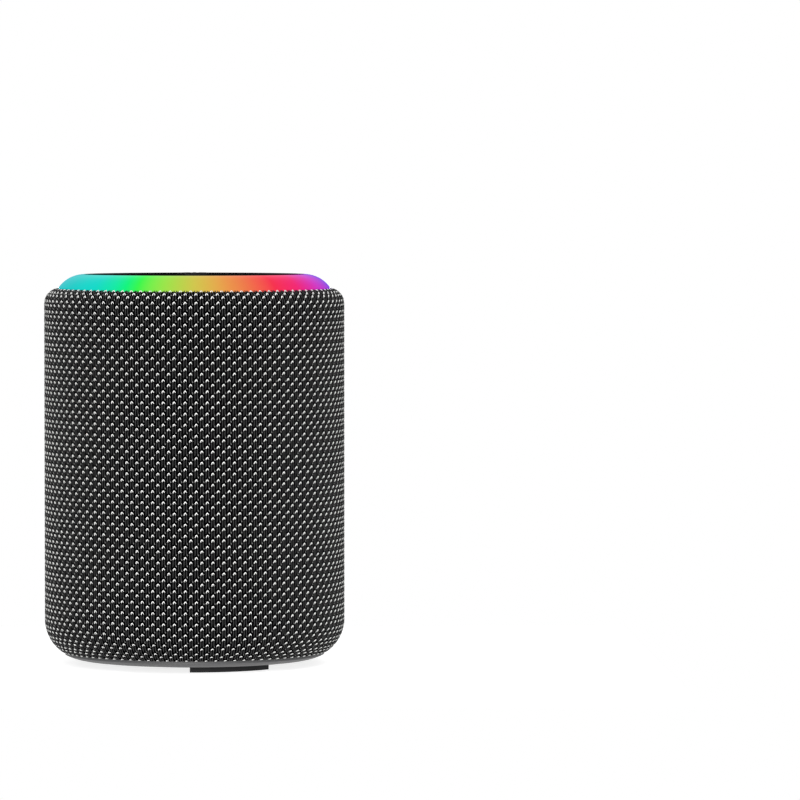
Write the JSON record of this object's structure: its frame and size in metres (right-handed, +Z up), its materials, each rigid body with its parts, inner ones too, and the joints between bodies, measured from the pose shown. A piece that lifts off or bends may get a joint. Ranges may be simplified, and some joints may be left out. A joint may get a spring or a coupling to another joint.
{
  "type": "portable bluetooth speaker",
  "caption": "Knit-covered cylinder speaker with a domed light ring round a raised-symbol control pad, front driver, rear passive radiator and rear port flap.",
  "frame": {"origin": "centre of the footprint, on the surface it stands on", "axes": "+Z up along the cylinder, the front (play key side) faces -Y, +X to the right"},
  "size_m": [0.084, 0.084, 0.1091],
  "materials": {
    "knit": "weft-knitted charcoal yarn with white flecks",
    "housing": "moulded, fine grain",
    "diffuser": "milky, lit from inside by coloured lights",
    "white_board": "white solder mask",
    "led": "clear resin lens",
    "pad": "soft-touch silicone",
    "switch_stem": "moulded",
    "plated": "tin plate",
    "circuit": "green solder mask",
    "chip": "moulded epoxy",
    "foam": "closed-cell foam",
    "driver_frame": "moulded",
    "steel": "zinc plate",
    "ferrite": "sintered ferrite",
    "copper": "enamelled copper wire",
    "cone_paper": "pressed pulp",
    "surround": "moulded rubber",
    "spider": "resin-treated cotton",
    "battery_wrap": "shrink wrap",
    "rubber_flap": "moulded rubber",
    "base_plastic": "moulded, fine grain",
    "foot_rubber": "moulded rubber",
    "screw_steel": "zinc plate",
    "flat_cable": "polyester film",
    "lead_red": "insulated wire"
  },
  "bodies": {
    "root": {"fabric_sleeve": "knit", "grille_tube": "housing", "top_frame": "housing", "enclosure_front": "housing", "enclosure_rear": "housing", "battery_cradle": "housing", "port_bezel": "housing", "aux_jack": "housing", "light_ring": "diffuser", "led_board": "white_board", "leds": "led", "control_pad": "pad", "tact_switches": "plated", "usb_socket": "plated", "card_slot": "plated", "microphone": "plated", "key_board": "circuit", "main_board": "circuit", "board_parts": "chip", "enclosure_seal": "foam", "driver_gasket": "foam", "driver_basket": "driver_frame", "radiator_frame": "driver_frame", "driver_top_plate": "steel", "driver_yoke": "steel", "driver_magnet": "ferrite", "driver_surround": "surround", "radiator_surround": "surround", "driver_spider": "spider", "battery_cell": "battery_wrap", "base_shell": "base_plastic", "foot_front": "foot_rubber", "foot_rear": "foot_rubber", "base_screws": "screw_steel", "top_screws": "screw_steel", "driver_screws": "screw_steel", "board_screws": "screw_steel", "ribbon_cable": "flat_cable", "speaker_leads": "lead_red", "battery_leads": "lead_red"},
    "key_power": {"key_power": "pad", "switch_stem_power": "switch_stem"},
    "key_play": {"key_play": "pad", "switch_stem_play": "switch_stem"},
    "key_minus": {"key_minus": "pad", "switch_stem_minus": "switch_stem"},
    "key_plus": {"key_plus": "pad", "switch_stem_plus": "switch_stem"},
    "key_light": {"key_light": "pad", "switch_stem_light": "switch_stem"},
    "cone": {"voice_coil": "copper", "driver_cone": "cone_paper", "dust_cap": "cone_paper"},
    "radiator": {"radiator_plate": "steel"},
    "port_flap": {"port_cover": "rubber_flap"}
  },
  "joints": [
    {"name": "key_power_press", "type": "slide", "parent": "root", "child": "key_power", "axis": [0, 0, -1], "range_m": [0, 0.0004], "stiffness_N_per_m": 3000},
    {"name": "key_play_press", "type": "slide", "parent": "root", "child": "key_play", "axis": [0, 0, -1], "range_m": [0, 0.0004], "stiffness_N_per_m": 3000},
    {"name": "key_minus_press", "type": "slide", "parent": "root", "child": "key_minus", "axis": [0, 0, -1], "range_m": [0, 0.0004], "stiffness_N_per_m": 3000},
    {"name": "key_plus_press", "type": "slide", "parent": "root", "child": "key_plus", "axis": [0, 0, -1], "range_m": [0, 0.0004], "stiffness_N_per_m": 3000},
    {"name": "key_light_press", "type": "slide", "parent": "root", "child": "key_light", "axis": [0, 0, -1], "range_m": [0, 0.0004], "stiffness_N_per_m": 3000},
    {"name": "cone_stroke", "type": "slide", "parent": "root", "child": "cone", "axis": [0, -1, 0], "range_m": [-0.0015, 0.0015], "stiffness_N_per_m": 900, "deforming": ["driver_surround", "driver_spider"]},
    {"name": "radiator_stroke", "type": "slide", "parent": "root", "child": "radiator", "axis": [0, 1, 0], "range_m": [-0.002, 0.002], "stiffness_N_per_m": 700, "deforming": ["radiator_surround"]},
    {"name": "port_flap_hinge", "type": "hinge", "parent": "root", "child": "port_flap", "pos_m": [0, 0.0419, 0.0276], "axis": [1, 0, 0], "range_deg": [0, 100], "stiffness_Nm_per_rad": 0.002}
  ]
}
